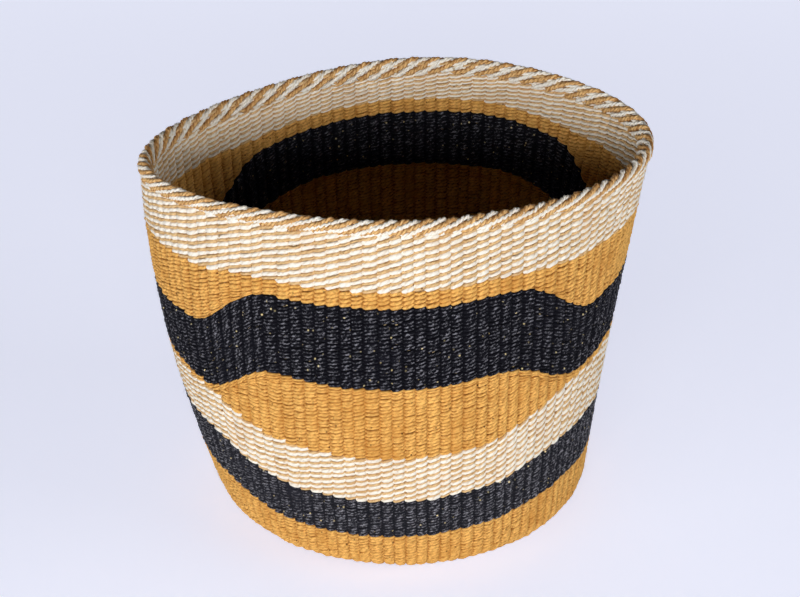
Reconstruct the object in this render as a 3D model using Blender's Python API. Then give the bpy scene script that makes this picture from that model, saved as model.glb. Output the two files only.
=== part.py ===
"""Kiondo basket: a twined sisal basket with an oval mouth and a round, flat base.

Stakes (the warps) fan out from the middle of the base and stand inside the wall. Every
coloured band of weft is a hollow ring that grips the stakes between an outer and an inner
skin. Short lens and wedge pieces fill in where the main black band rises and falls.

Metres, +Z up. The origin is on the ground under the middle of the basket.
Angle 0 is the right end (+X), a quarter turn is the back (+Y), three quarters the front.
"""
import math

import bpy
import numpy as np

# Mouth, outside
RIM_WIDTH = 0.2613
RIM_DEPTH = 0.1986
RIM_POINT = 0.0058          # draws the two ends of the oval to a point
RIM_SKEW = 0.0032           # leads the right end back and the left end forward
RIM_TILT = 0.0062           # right end up, left end down
RIM_SADDLE = 0.0039         # ends lower than front and back
RIM_TWIST = 0.0023          # back right and front left corners up

# Base and wall
GROUND_RADIUS = 0.0880      # the flat that rests on the ground
BASE_SHIFT = 0.0032         # base centre, to the right of the mouth's centre
HEEL_RADIUS = 0.0134
FRONT_BELLY = 0.0105        # front and back walls swell this much between heel and rim
LEFT_BELLY = 0.0082
RIGHT_BELLY = -0.0015       # the right end is a little hollow

# Wall make-up, from outside to inside: strand, stake, strand
STRAND_SKIN = 0.0015
STAKE_THICKNESS = 0.0014
STAKE_WIDTH = 0.0024
SLOT_CLEARANCE = 0.0004
BAND_GAP = 0.0003

# Stakes: each one stands for three neighbouring warps
STAKE_COUNT = 36
STAKES_PER_CROSSING = 6     # the two skins are tied together after this many stakes
CROSSING_WIDTH_SHARE = 0.22
HUB_RADIUS = 0.0180
START_HOLE_RADIUS = 0.0080
START_RADIUS = 0.0300

# Heights of the bands along the wall. A skew makes a band that much higher at the front left
# and back right corners, and lower at the other two
HEEL_FRONT, HEEL_RIGHT, HEEL_BACK, HEEL_LEFT = 0.0329, 0.0390, 0.0365, 0.0450
HEEL_SKEW = -0.0040
LOWER_BLACK_FRONT, LOWER_BLACK_RIGHT = 0.0238, 0.0320
LOWER_BLACK_BACK, LOWER_BLACK_LEFT = 0.0280, 0.0310
LOWER_STRIPED_FRONT, LOWER_STRIPED_RIGHT = 0.0268, 0.0390
LOWER_STRIPED_BACK, LOWER_STRIPED_LEFT = 0.0284, 0.0230
LOWER_STRIPED_SKEW = 0.0040
LENS_FRONT, LENS_BACK, LENS_TIP = 0.0377, 0.0480, 0.0019
MIDDLE_TAN_HEIGHT = 0.0030
MAIN_BLACK_FRONT, MAIN_BLACK_BACK, MAIN_BLACK_END = 0.0433, 0.0343, 0.0345
WEDGE_HEIGHT, WEDGE_TIP = 0.0232, 0.0019
UPPER_TAN_HEIGHT = 0.0085
UPPER_STRIPED_FRONT, UPPER_STRIPED_RIGHT = 0.0295, 0.0250
UPPER_STRIPED_BACK, UPPER_STRIPED_LEFT = 0.0205, 0.0275
RIM_SLEEVE_HEIGHT = 0.0033
RIM_CAP_HEIGHT = 0.0022     # solid top of the rim, over the ends of the stakes

# The humps of the black band, as angles round the basket. A slope is given by its start and
# its end, as angles from the hump's middle
FRONT_HUMP = math.radians(270)
BACK_HUMP = math.radians(85)
LENS_LEFT_SLOPE = (math.radians(33), math.radians(57))
LENS_RIGHT_SLOPE = (math.radians(25), math.radians(58))
LENS_BACK_SLOPE = (math.radians(24), math.radians(67))
MAIN_BLACK_SLOPE = (math.radians(43), math.radians(60))
WEDGE_FRONT_SLOPE = (math.radians(34), math.radians(61))
WEDGE_BACK_SLOPE = (math.radians(44), math.radians(62))
LENS_END_ANGLE = math.radians(64)
WEDGE_START_ANGLE = math.radians(33)

# The upper tan band is in four stretches, cut here, as an angle from a hump's middle
UPPER_TAN_CUT_ANGLE = math.radians(37)

HEEL_STEPS = 6
HEEL_CUT_STEP = 3           # the heel weft ends here, halfway round its turn
STAKE_WALL_STEPS = 8
SHARP_ANGLE = math.radians(30)

TAN = (0.56, 0.29, 0.085)
BLACK = (0.022, 0.023, 0.032)
STRIPED = (0.78, 0.63, 0.42)
RAW = (0.62, 0.44, 0.22)

WALL = 2 * STRAND_SKIN + STAKE_THICKNESS + 2 * SLOT_CLEARANCE
SKIN_DEPTHS = (0.0, STRAND_SKIN, WALL - STRAND_SKIN, WALL)
STAKE_DEPTHS = (STRAND_SKIN + SLOT_CLEARANCE, WALL - STRAND_SKIN - SLOT_CLEARANCE)
PITCH = 2 * math.pi / STAKE_COUNT
OUTER, SLOT, INNER = range(3)


def smooth_step(x):
    """0 below 0, 1 above 1, and 3x^2 - 2x^3 between."""
    x = np.clip(x, 0.0, 1.0)
    return x * x * (3 - 2 * x)


def is_front(angle):
    return np.sin(angle) < 0


def from_hump(angle):
    """Angle round the basket from the middle of the nearer hump."""
    distances = [np.abs((angle - middle + math.pi) % (2 * math.pi) - math.pi)
                 for middle in (FRONT_HUMP, BACK_HUMP)]
    return np.minimum(*distances)


def height_round(angle, front, right, back, left, skew=0.0):
    """Height of a band that is given at the front, the back and the two ends. Between them it
    is the smoothest wave, with two rises to a turn, that goes through those four."""
    middle = (front + right + back + left) / 4
    ends_over_sides = (right + left - front - back) / 4
    return (middle + (right - left) / 2 * np.cos(angle) + (back - front) / 2 * np.sin(angle)
            + ends_over_sides * np.cos(2 * angle) + skew * np.sin(2 * angle))


def hump_share(angle, left_slope, right_slope, back_slope):
    """1 over the flat tops of the two humps, 0 in the valleys at the ends."""
    front, left = is_front(angle), np.cos(angle) < 0
    start, end = [np.where(front, np.where(left, on_left, on_right), behind)
                  for on_left, on_right, behind in zip(left_slope, right_slope, back_slope)]
    return 1 - smooth_step((from_hump(angle) - start) / (end - start))


def height_humped(angle, front, back, end, share):
    """Height of a band that runs from end, in the valleys, to front or back on the humps."""
    return end + (np.where(is_front(angle), front, back) - end) * share


def lens_height(angle):
    """Height of the short rows under a hump, cut off square at their last turn."""
    share = hump_share(angle, LENS_LEFT_SLOPE, LENS_RIGHT_SLOPE, LENS_BACK_SLOPE)
    height = height_humped(angle, LENS_FRONT, LENS_BACK, LENS_TIP, share)
    return np.where(from_hump(angle) < LENS_END_ANGLE, height, 0.0)


def main_black_height(angle):
    share = hump_share(angle, MAIN_BLACK_SLOPE, MAIN_BLACK_SLOPE, MAIN_BLACK_SLOPE)
    return height_humped(angle, MAIN_BLACK_FRONT, MAIN_BLACK_BACK, MAIN_BLACK_END, share)


def wedge_height(angle):
    """Height of the short rows in a valley, cut off square at their last turn."""
    share = hump_share(angle, WEDGE_FRONT_SLOPE, WEDGE_FRONT_SLOPE, WEDGE_BACK_SLOPE)
    height = height_humped(angle, WEDGE_TIP, WEDGE_TIP, WEDGE_HEIGHT, share)
    return np.where(from_hump(angle) > WEDGE_START_ANGLE, height, 0.0)


def band_tops(angle):
    """Lengths along the wall at which the bands end, from the heel up, before fitting."""
    level = np.ones_like(angle)
    heights = [
        height_round(angle, HEEL_FRONT, HEEL_RIGHT, HEEL_BACK, HEEL_LEFT, HEEL_SKEW),
        height_round(angle, LOWER_BLACK_FRONT, LOWER_BLACK_RIGHT, LOWER_BLACK_BACK,
                     LOWER_BLACK_LEFT),
        height_round(angle, LOWER_STRIPED_FRONT, LOWER_STRIPED_RIGHT, LOWER_STRIPED_BACK,
                     LOWER_STRIPED_LEFT, LOWER_STRIPED_SKEW),
        lens_height(angle),
        MIDDLE_TAN_HEIGHT * level,
        main_black_height(angle),
        wedge_height(angle),
        UPPER_TAN_HEIGHT * level,
        height_round(angle, UPPER_STRIPED_FRONT, UPPER_STRIPED_RIGHT, UPPER_STRIPED_BACK,
                     UPPER_STRIPED_LEFT),
        RIM_SLEEVE_HEIGHT * level,
        RIM_CAP_HEIGHT * level,
    ]
    return np.cumsum(heights, axis=0)


HEEL, LOWER_BLACK, LOWER_STRIPED, LENS, MIDDLE_TAN = range(5)
MAIN_BLACK, WEDGE, UPPER_TAN, UPPER_STRIPED, RIM_SLEEVE, RIM_CAP = range(5, 11)

FRONT_WALL_LENGTH = float(band_tops(np.array(FRONT_HUMP))[RIM_CAP])
FRONT_WALL_RUN = FRONT_WALL_LENGTH - HEEL_RADIUS * math.pi / 2
FRONT_WALL_RISE = FRONT_WALL_RUN - 8 * FRONT_BELLY ** 2 / (3 * FRONT_WALL_RUN)
RIM_LEVEL = HEEL_RADIUS + FRONT_WALL_RISE - RIM_SADDLE


def rim_point(angle):
    """Centre of the rim's outer top edge."""
    half_width = RIM_WIDTH / 2 - RIM_POINT
    x = half_width * np.cos(angle) + RIM_POINT * np.cos(3 * angle) + RIM_SKEW * np.sin(2 * angle)
    y = RIM_DEPTH / 2 * np.sin(angle)
    z = (RIM_LEVEL + RIM_TILT * np.cos(angle) - RIM_SADDLE * np.cos(2 * angle)
         + RIM_TWIST * np.sin(2 * angle))
    return np.stack([x, y, z], axis=-1)


def belly(angle):
    """Sideways swell of the wall halfway up, as a flat vector."""
    middle, lean = (LEFT_BELLY + RIGHT_BELLY) / 2, (RIGHT_BELLY - LEFT_BELLY) / 2
    x = np.cos(angle) * (middle + lean * np.cos(angle))
    y = FRONT_BELLY * np.sin(angle)
    return np.stack([x, y, 0 * x], axis=-1)


def outward(angle):
    return np.stack([np.cos(angle), np.sin(angle), 0 * angle], axis=-1)


def heel_turn(angle):
    """How far the heel turns up before the wall takes over, a right angle less its lean."""
    centre = np.array([BASE_SHIFT, 0.0, HEEL_RADIUS])
    heel = centre + outward(angle) * (GROUND_RADIUS + HEEL_RADIUS)
    rise = rim_point(angle) - heel
    lean = np.sum((rise + 4 * belly(angle)) * outward(angle), axis=-1) / rise[..., 2]
    return math.pi / 2 - np.arctan(lean)


def heel_point(angle, turn):
    """Point on the rounded heel, turned up from the ground by the angle turn."""
    radius = GROUND_RADIUS + HEEL_RADIUS * np.sin(turn)
    point = outward(angle) * radius[..., None]
    point[..., 0] += BASE_SHIFT
    point[..., 2] = HEEL_RADIUS * (1 - np.cos(turn))
    return point


def wall_length(angle):
    """Length along the wall from the ground to the rim."""
    turn = heel_turn(angle)
    chord = np.linalg.norm(rim_point(angle) - heel_point(angle, turn), axis=-1)
    swell = np.linalg.norm(belly(angle), axis=-1)
    return HEEL_RADIUS * turn + chord + 8 * swell ** 2 / (3 * chord)


def outer_point(angle, along):
    """Point on the outer surface. along is the length from the edge of the ground flat:
    below zero it runs inwards over the base, above zero up the heel and the wall."""
    turn = heel_turn(angle)
    heel_length = HEEL_RADIUS * turn
    base = outward(angle) * (GROUND_RADIUS + along)[..., None]
    base[..., 0] += BASE_SHIFT
    heel = heel_point(angle, np.clip(along / HEEL_RADIUS, 0.0, turn))
    share = (along - heel_length) / (wall_length(angle) - heel_length)
    share = share[..., None]
    wall = heel + (rim_point(angle) - heel) * share + belly(angle) * 4 * share * (1 - share)
    point = np.where((along < 0)[..., None], base, heel)
    return np.where((along > heel_length)[..., None], wall, point)


def surface_point(angle, along, depth):
    """Point at a depth below the outer surface, square to it."""
    angle, along = np.broadcast_arrays(np.asarray(angle, float), np.asarray(along, float))
    step = STRAND_SKIN / 10
    turn_step = step / GROUND_RADIUS
    across = outer_point(angle + turn_step, along) - outer_point(angle - turn_step, along)
    up = outer_point(angle, along + step) - outer_point(angle, along - step)
    normal = np.cross(across, up)
    normal /= np.linalg.norm(normal, axis=-1, keepdims=True)
    return outer_point(angle, along) - normal * depth


def corner_angles():
    """Angles of the wall's facets. Facet edges lie midway between the stakes, and at each
    crossing the edge is doubled, so that a narrow facet ties the skins together."""
    angles, crossing = [], []
    half = CROSSING_WIDTH_SHARE * PITCH / 2
    for index in range(STAKE_COUNT):
        middle = (index - 0.5) * PITCH
        if index % STAKES_PER_CROSSING == 0:
            angles += [middle - half, middle + half]
            crossing += [True, False]
        else:
            angles.append(middle)
            crossing.append(False)
    return np.array(angles), np.array(crossing)


CORNERS, CROSSING = corner_angles()
FIT = wall_length(CORNERS) / band_tops(CORNERS)[RIM_CAP]
TOPS = band_tops(CORNERS) * FIT


def grid_solid(points, filled, ring):
    """Vertices and faces of the filled cells of a block of points.

    points has one more entry than filled along each axis, but a ring wraps round its first
    axis. A face is made wherever a filled cell meets an empty one or the outside."""
    count = points.shape[0]
    numbers = -np.ones(points.shape[:3], dtype=int)
    vertices, faces = [], []

    def vertex(i, j, k):
        i = i % count if ring else i
        if numbers[i, j, k] < 0:
            numbers[i, j, k] = len(vertices)
            vertices.append(points[i, j, k])
        return int(numbers[i, j, k])

    def is_filled(i, j, k):
        if ring:
            i = i % filled.shape[0]
        inside = all(0 <= index < size for index, size in zip((i, j, k), filled.shape))
        return inside and filled[i, j, k]

    sides = {
        (1, 0, 0): ((1, 0, 0), (1, 1, 0), (1, 1, 1), (1, 0, 1)),
        (-1, 0, 0): ((0, 0, 0), (0, 0, 1), (0, 1, 1), (0, 1, 0)),
        (0, 1, 0): ((0, 1, 0), (0, 1, 1), (1, 1, 1), (1, 1, 0)),
        (0, -1, 0): ((0, 0, 0), (1, 0, 0), (1, 0, 1), (0, 0, 1)),
        (0, 0, 1): ((0, 0, 1), (1, 0, 1), (1, 1, 1), (0, 1, 1)),
        (0, 0, -1): ((0, 0, 0), (0, 1, 0), (1, 1, 0), (1, 0, 0)),
    }
    for i, j, k in np.argwhere(filled):
        for (di, dj, dk), corners in sides.items():
            if not is_filled(i + di, j + dj, k + dk):
                faces.append([vertex(i + a, j + b, k + c) for a, b, c in reversed(corners)])
    return vertices, faces


def add_object(name, vertices, faces, colour):
    """One mesh object with its own material."""
    mesh = bpy.data.meshes.new(name)
    mesh.from_pydata([tuple(map(float, vertex)) for vertex in vertices], [], faces)
    mesh.shade_smooth()
    mesh.set_sharp_from_angle(angle=SHARP_ANGLE)
    material = bpy.data.materials.new(name)
    material.use_nodes = True
    shader = material.node_tree.nodes["Principled BSDF"]
    shader.inputs["Base Color"].default_value = (*colour, 1.0)
    shader.inputs["Roughness"].default_value = 0.9
    shader.inputs["Metallic"].default_value = 0.0
    mesh.materials.append(material)
    part = bpy.data.objects.new(name, mesh)
    bpy.context.scene.collection.objects.link(part)
    return part


def woven_band(name, levels, colour, facets=None, open_levels=None, crossing_levels=None):
    """A ring of weft, or a short stretch of it.

    levels holds, for each corner angle, the lengths along the wall where the band starts,
    steps and ends. facets lists the facets of a short stretch. open_levels marks the steps
    that have a slot for the stakes, and crossing_levels those that tie the skins."""
    levels = levels.copy()
    levels[:, 0] += BAND_GAP / 2
    levels[:, -1] -= BAND_GAP / 2
    steps = levels.shape[1] - 1
    open_levels = np.ones(steps, bool) if open_levels is None else np.array(open_levels)
    crossing_levels = np.ones(steps, bool) if crossing_levels is None else np.array(crossing_levels)
    ring = facets is None
    facets = np.arange(len(CORNERS)) if ring else np.array(facets)
    corners = facets if ring else np.append(facets, facets[-1] + 1)
    wrapped = corners % len(CORNERS)
    angles = CORNERS[wrapped]
    if not ring:
        angles[[0, -1]] += np.array([1, -1]) * BAND_GAP / RIM_DEPTH
    points = np.stack([surface_point(angles[:, None], levels[wrapped], depth)
                       for depth in SKIN_DEPTHS], axis=2)
    filled = np.ones((len(facets), steps, 3), bool)
    tied = CROSSING[facets % len(CORNERS)][:, None] & crossing_levels[None, :]
    filled[:, :, SLOT] = tied | ~open_levels[None, :]
    return add_object(name, *grid_solid(points, filled, ring), colour)


def spread(low, high, steps):
    """Evenly spaced levels from low to high at every corner."""
    share = np.linspace(0.0, 1.0, steps + 1)
    return low[:, None] + (high - low)[:, None] * share


def facet_run(keep):
    """The unbroken run of facets whose two corners are both kept."""
    both = keep & np.roll(keep, -1)
    start = int(np.argmax(both & ~np.roll(both, 1)))
    return [start + step for step in range(int(both.sum()))]


def base_wefts():
    centre = -GROUND_RADIUS * np.ones(len(CORNERS))
    hole, hub = centre + START_HOLE_RADIUS, centre + HUB_RADIUS + SLOT_CLEARANCE
    start, edge = centre + START_RADIUS, 0 * centre
    woven_band("base_start_weft", np.stack([hole, hub, start], axis=1), RAW,
               crossing_levels=[False, True])
    woven_band("base_weft", spread(start, edge, 1), TAN)


def heel_levels():
    """Levels of the lowest tan rows at every corner: the arc in even steps, then the wall."""
    arc_end = HEEL_RADIUS * heel_turn(CORNERS)
    arc = spread(0 * arc_end, arc_end, HEEL_STEPS)
    return np.concatenate([arc, TOPS[HEEL][:, None]], axis=1)


def wall_wefts():
    woven_band("heel_weft", heel_levels()[:, :HEEL_CUT_STEP + 1], TAN)
    woven_band("lower_tan_weft", heel_levels()[:, HEEL_CUT_STEP:], TAN)
    woven_band("lower_black_weft", spread(TOPS[HEEL], TOPS[LOWER_BLACK], 1), BLACK)
    woven_band("lower_striped_weft", spread(TOPS[LOWER_BLACK], TOPS[LOWER_STRIPED], 1), STRIPED)
    woven_band("middle_tan_weft", spread(TOPS[LENS], TOPS[MIDDLE_TAN], 1), TAN)
    woven_band("main_black_weft", spread(TOPS[MIDDLE_TAN], TOPS[MAIN_BLACK], 2), BLACK)
    woven_band("upper_striped_weft", spread(TOPS[UPPER_TAN], TOPS[UPPER_STRIPED], 2), STRIPED)


def short_wefts():
    """The lenses in front and behind, the wedges at the two ends, and the upper tan band in
    four stretches. The two end stretches take the facets that front and back leave."""
    in_lens = from_hump(CORNERS) < LENS_END_ANGLE
    in_wedge = from_hump(CORNERS) > WEDGE_START_ANGLE
    front, right = is_front(CORNERS), np.cos(CORNERS) > 0
    lens = spread(TOPS[LOWER_STRIPED], TOPS[LENS], 2)
    wedge = spread(TOPS[MAIN_BLACK], TOPS[WEDGE], 1)
    woven_band("front_lens_weft", lens, TAN, facet_run(in_lens & front))
    woven_band("back_lens_weft", lens, TAN, facet_run(in_lens & ~front))
    woven_band("left_wedge_weft", wedge, TAN, facet_run(in_wedge & ~right))
    woven_band("right_wedge_weft", wedge, TAN, facet_run(in_wedge & right))
    middle = from_hump(CORNERS) < UPPER_TAN_CUT_ANGLE
    end = ~middle | np.roll(~middle, 1) | np.roll(~middle, -1)
    upper_tan = spread(TOPS[WEDGE], TOPS[UPPER_TAN], 1)
    woven_band("front_upper_tan_weft", upper_tan, TAN, facet_run(middle & front))
    woven_band("back_upper_tan_weft", upper_tan, TAN, facet_run(middle & ~front))
    woven_band("left_upper_tan_weft", upper_tan, TAN, facet_run(end & ~right))
    woven_band("right_upper_tan_weft", upper_tan, TAN, facet_run(end & right))


def rim_binding():
    levels = np.stack([TOPS[UPPER_STRIPED], TOPS[RIM_SLEEVE], TOPS[RIM_CAP]], axis=1)
    woven_band("rim_binding", levels, STRIPED, open_levels=[True, False])


def stake_rails(index):
    """Four edges of one stake, from the hub to the rim: on the chord between the corners of
    its facet, so that it keeps the same clearance to both skins all the way."""
    angle = index * PITCH
    last = int(np.searchsorted(CORNERS, angle))
    ends = np.array([last - 1, last % len(CORNERS)])
    heel = heel_levels()[ends]
    hub = (HUB_RADIUS - GROUND_RADIUS) * np.ones((2, 1))
    top = TOPS[RIM_SLEEVE][ends] - SLOT_CLEARANCE
    share = np.linspace(0.0, 1.0, STAKE_WALL_STEPS + 1)
    wall = heel[:, -1:] + (top[:, None] - heel[:, -1:]) * share
    levels = np.concatenate([hub, heel[:, :-1], wall], axis=1)
    corner_pair = CORNERS[ends]
    corner_pair[1] += 2 * math.pi * (last == len(CORNERS))
    along = (angle - corner_pair[0]) / (corner_pair[1] - corner_pair[0])
    rails = []
    for depth in STAKE_DEPTHS:
        first, second = surface_point(corner_pair[:, None], levels, depth)
        chord = second - first
        middle = first + chord * along
        side = chord / np.linalg.norm(chord, axis=-1, keepdims=True) * STAKE_WIDTH / 2
        rails += [middle - side, middle + side]
    return np.array(rails)


def warp_skeleton():
    """All the stakes and the hub that they cross in, as one piece."""
    vertices, faces = [], []
    low_ring, high_ring = [], []
    for index in range(STAKE_COUNT):
        rails = stake_rails(index)
        start = len(vertices)
        sections = rails.shape[1]
        vertices += list(rails.transpose(1, 0, 2).reshape(-1, 3))
        for section in range(sections - 1):
            a = start + 4 * section
            for one, two in ((0, 1), (1, 3), (3, 2), (2, 0)):
                faces.append([a + one, a + two, a + two + 4, a + one + 4])
        last = start + 4 * (sections - 1)
        faces.append([last, last + 1, last + 3, last + 2])
        low_ring += [start, start + 1]
        high_ring += [start + 2, start + 3]
    faces.append(list(reversed(low_ring)))
    faces.append(high_ring)
    for edge in range(1, 2 * STAKE_COUNT, 2):
        after = (edge + 1) % (2 * STAKE_COUNT)
        faces.append([low_ring[edge], low_ring[after], high_ring[after], high_ring[edge]])
    add_object("warp_skeleton", vertices, faces, RAW)


def main():
    for old in list(bpy.data.objects):
        bpy.data.objects.remove(old, do_unlink=True)
    warp_skeleton()
    base_wefts()
    wall_wefts()
    short_wefts()
    rim_binding()


main()
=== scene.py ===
# %% [markdown]
# # A kiondo basket
#
# A kiondo is twined by hand from sisal. Stiff cords, the warps, fan out from the middle of
# the base and run up the wall. Soft strands, the weft, go round in pairs: one lies outside a
# warp while its partner lies inside, and they cross between every two warps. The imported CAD
# model gives every band of the basket as a plain ring. This script twines each band again,
# strand by strand, in the same place.

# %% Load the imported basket
import math

import bpy
import numpy as np
from mathutils import Matrix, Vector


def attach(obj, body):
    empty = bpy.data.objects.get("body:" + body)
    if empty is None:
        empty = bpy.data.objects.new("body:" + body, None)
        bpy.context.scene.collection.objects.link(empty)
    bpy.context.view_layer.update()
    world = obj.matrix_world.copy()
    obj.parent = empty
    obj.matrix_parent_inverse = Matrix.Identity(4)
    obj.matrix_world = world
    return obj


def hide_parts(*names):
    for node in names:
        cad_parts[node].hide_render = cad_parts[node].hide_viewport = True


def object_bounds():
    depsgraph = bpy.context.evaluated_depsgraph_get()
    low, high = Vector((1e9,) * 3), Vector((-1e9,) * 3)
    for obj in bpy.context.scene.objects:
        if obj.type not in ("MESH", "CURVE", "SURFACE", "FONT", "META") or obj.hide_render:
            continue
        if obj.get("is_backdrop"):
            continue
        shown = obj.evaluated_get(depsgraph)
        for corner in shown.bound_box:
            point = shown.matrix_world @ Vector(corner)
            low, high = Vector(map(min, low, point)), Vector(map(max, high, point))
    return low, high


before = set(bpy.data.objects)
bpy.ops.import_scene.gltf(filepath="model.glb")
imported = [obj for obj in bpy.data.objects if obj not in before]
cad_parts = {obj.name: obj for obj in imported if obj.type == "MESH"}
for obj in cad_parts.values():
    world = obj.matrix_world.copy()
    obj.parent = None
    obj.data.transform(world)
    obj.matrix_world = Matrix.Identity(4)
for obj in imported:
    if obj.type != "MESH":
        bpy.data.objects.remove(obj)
cad_low, cad_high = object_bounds()
MM = 0.001
print("packed basket, mm:", [round((b - a) / MM, 1) for a, b in zip(cad_low, cad_high)])

# %% [markdown]
# ## The camera
#
# The photograph was taken from a little above the mouth, with a long lens. The camera stands
# in front of the basket, looks along +Y and down by 29 degrees, and leans a quarter degree.
# It could be set by eye, but then every size judged through it would be wrong a little. So
# its place was worked out from the perspective first, and the basket was measured through it.

# %% Camera
CAMERA_PLACE = (0.00264, -0.97321, 0.64712)
CAMERA_PITCH = math.radians(29.10)
CAMERA_ROLL = math.radians(0.274)
CAMERA_LENS = 94.87         # mm
SENSOR_WIDTH = 36.0         # mm
CLIP_START = 0.05           # nothing nearer than this is seen, in metres


def add_object(name, data):
    """Puts a mesh, a lamp or a camera into the scene as a new object."""
    added = bpy.data.objects.new(name, data)
    bpy.context.scene.collection.objects.link(added)
    return added


def add_camera():
    """Turned up from straight down by a right angle less the pitch, then rolled about its
    view."""
    camera = add_object("camera", bpy.data.cameras.new("camera"))
    camera.data.lens = CAMERA_LENS
    camera.data.sensor_width = SENSOR_WIDTH
    camera.data.clip_start = CLIP_START
    pitch = Matrix.Rotation(math.pi / 2 - CAMERA_PITCH, 4, "X")
    roll = Matrix.Rotation(CAMERA_ROLL, 4, "Z")
    camera.matrix_world = Matrix.Translation(CAMERA_PLACE) @ (pitch @ roll)
    bpy.context.scene.camera = camera


add_camera()
print("camera at", CAMERA_PLACE)

# %% [markdown]
# ## The shape of the wall
#
# The wall is one surface with two coordinates: the angle round the basket and the length
# along the wall, measured from the edge of the flat that stands on the ground. Below zero
# the length runs inwards over the base. The wall could be a sculpted or a subdivided mesh,
# but a formula can be asked for a point and its slope at any place, which twining needs. The
# sizes are the ones that the CAD model was built from, so every strand lies where its band
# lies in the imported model.

# %% Sizes of the mouth, the base and the wall
RIM_WIDTH = 261.3 * MM
RIM_DEPTH = 198.6 * MM
RIM_POINT = 5.8 * MM        # draws the two ends of the oval to a point
RIM_SKEW = 3.2 * MM         # leads the right end back and the left end forward
RIM_TILT = 6.2 * MM         # right end up, left end down
RIM_SADDLE = 3.9 * MM       # ends lower than front and back
RIM_TWIST = 2.3 * MM        # back right and front left corners up
GROUND_RADIUS = 88.0 * MM   # the flat that rests on the ground
BASE_SHIFT = 3.2 * MM       # base centre, to the right of the mouth's centre
HEEL_RADIUS = 13.4 * MM
FRONT_BELLY = 10.5 * MM     # swell of the front and back walls between heel and rim
LEFT_BELLY = 8.2 * MM
RIGHT_BELLY = -1.5 * MM
WALL = 5.2 * MM             # two strands and the warp between them
SLOPE_STEP = 0.15 * MM      # step by which the slope of the surface is measured

# %% Heights of the bands along the wall, at the front, the right end, the back and the left end
HEEL_HEIGHTS = (32.9 * MM, 39.0 * MM, 36.5 * MM, 45.0 * MM)
HEEL_SKEW = -4.0 * MM
LOWER_BLACK_HEIGHTS = (23.8 * MM, 32.0 * MM, 28.0 * MM, 31.0 * MM)
LOWER_STRIPED_HEIGHTS = (26.8 * MM, 39.0 * MM, 28.4 * MM, 23.0 * MM)
LOWER_STRIPED_SKEW = 4.0 * MM
UPPER_STRIPED_HEIGHTS = (29.5 * MM, 25.0 * MM, 20.5 * MM, 27.5 * MM)
UPPER_TAN_HEIGHT = 8.5 * MM
MIDDLE_TAN_HEIGHT = 3.0 * MM
RIM_SLEEVE_HEIGHT = 3.3 * MM
RIM_CAP_HEIGHT = 2.2 * MM

# %% Heights on the black band's two humps, at the front and at the back, and in its valleys
LENS_HEIGHTS = (37.7 * MM, 48.0 * MM, 0.0)
MAIN_BLACK_HEIGHTS = (43.3 * MM, 34.3 * MM, 34.5 * MM)
WEDGE_HEIGHTS = (0.0, 0.0, 23.2 * MM)
FRONT_HUMP = math.radians(270)
BACK_HUMP = math.radians(85)
LENS_SLOPES = ((33, 57), (25, 58), (24, 67))        # degrees from the hump's middle: front left,
MAIN_BLACK_SLOPES = ((43, 60), (43, 60), (43, 60))  # front right and back
WEDGE_SLOPES = ((34, 61), (34, 61), (44, 62))
# The bands' tops from the ground up, as rows of the arrays of heights.
(GROUND, HEEL, LOWER_BLACK, LOWER_STRIPED, LENS, MIDDLE_TAN, MAIN_BLACK, WEDGE, UPPER_TAN,
 UPPER_STRIPED, RIM_SLEEVE, RIM) = range(12)


# %% How the bands rise and fall round the basket
def smooth_step(x):
    """0 below 0, 1 above 1, and 3x^2 - 2x^3 between."""
    x = np.clip(x, 0.0, 1.0)
    return x * x * (3 - 2 * x)


def height_round(angle, heights, skew=0.0):
    """The smoothest wave, with two rises to a turn, through a band's four heights. skew
    raises its front left and back right corners and lowers the other two."""
    front, right, back, left = heights
    return (sum(heights) / 4
            + (right - left) / 2 * np.cos(angle) + (back - front) / 2 * np.sin(angle)
            + (right + left - front - back) / 4 * np.cos(2 * angle) + skew * np.sin(2 * angle))


def from_hump(angle):
    """Angle from the middle of the nearer of the black band's two humps."""
    front = np.abs((angle - FRONT_HUMP + math.pi) % (2 * math.pi) - math.pi)
    back = np.abs((angle - BACK_HUMP + math.pi) % (2 * math.pi) - math.pi)
    return np.minimum(front, back)


def height_humped(angle, heights, slopes):
    """The valleys' height plus what a hump adds, times its share: 1 over its flat top, 0 in
    the valleys, and a smooth step between the two angles of the slope."""
    front, back, valley = heights
    is_front, is_left = np.sin(angle) < 0, np.cos(angle) < 0
    start, end = [np.where(is_front, np.where(is_left, on_left, on_right), behind)
                  for on_left, on_right, behind in zip(*np.radians(slopes))]
    share = 1 - smooth_step((from_hump(angle) - start) / (end - start))
    return valley + (np.where(is_front, front, back) - valley) * share


def band_heights(angle):
    """Height of every band at each angle, before they are fitted to the wall's length."""
    level = np.ones_like(angle)
    return np.stack([
        0 * level,
        height_round(angle, HEEL_HEIGHTS, HEEL_SKEW),
        height_round(angle, LOWER_BLACK_HEIGHTS),
        height_round(angle, LOWER_STRIPED_HEIGHTS, LOWER_STRIPED_SKEW),
        height_humped(angle, LENS_HEIGHTS, LENS_SLOPES),
        MIDDLE_TAN_HEIGHT * level,
        height_humped(angle, MAIN_BLACK_HEIGHTS, MAIN_BLACK_SLOPES),
        height_humped(angle, WEDGE_HEIGHTS, WEDGE_SLOPES),
        UPPER_TAN_HEIGHT * level,
        height_round(angle, UPPER_STRIPED_HEIGHTS),
        RIM_SLEEVE_HEIGHT * level,
        RIM_CAP_HEIGHT * level,
    ])


# %% The rim and the level that it stands at
def front_rise():
    """Height of the front wall above its heel: its length less the bow of the belly."""
    run = band_heights(np.array(FRONT_HUMP)).sum() - HEEL_RADIUS * math.pi / 2
    return run - 8 * FRONT_BELLY ** 2 / (3 * run)


RIM_LEVEL = HEEL_RADIUS + front_rise() - RIM_SADDLE


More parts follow.
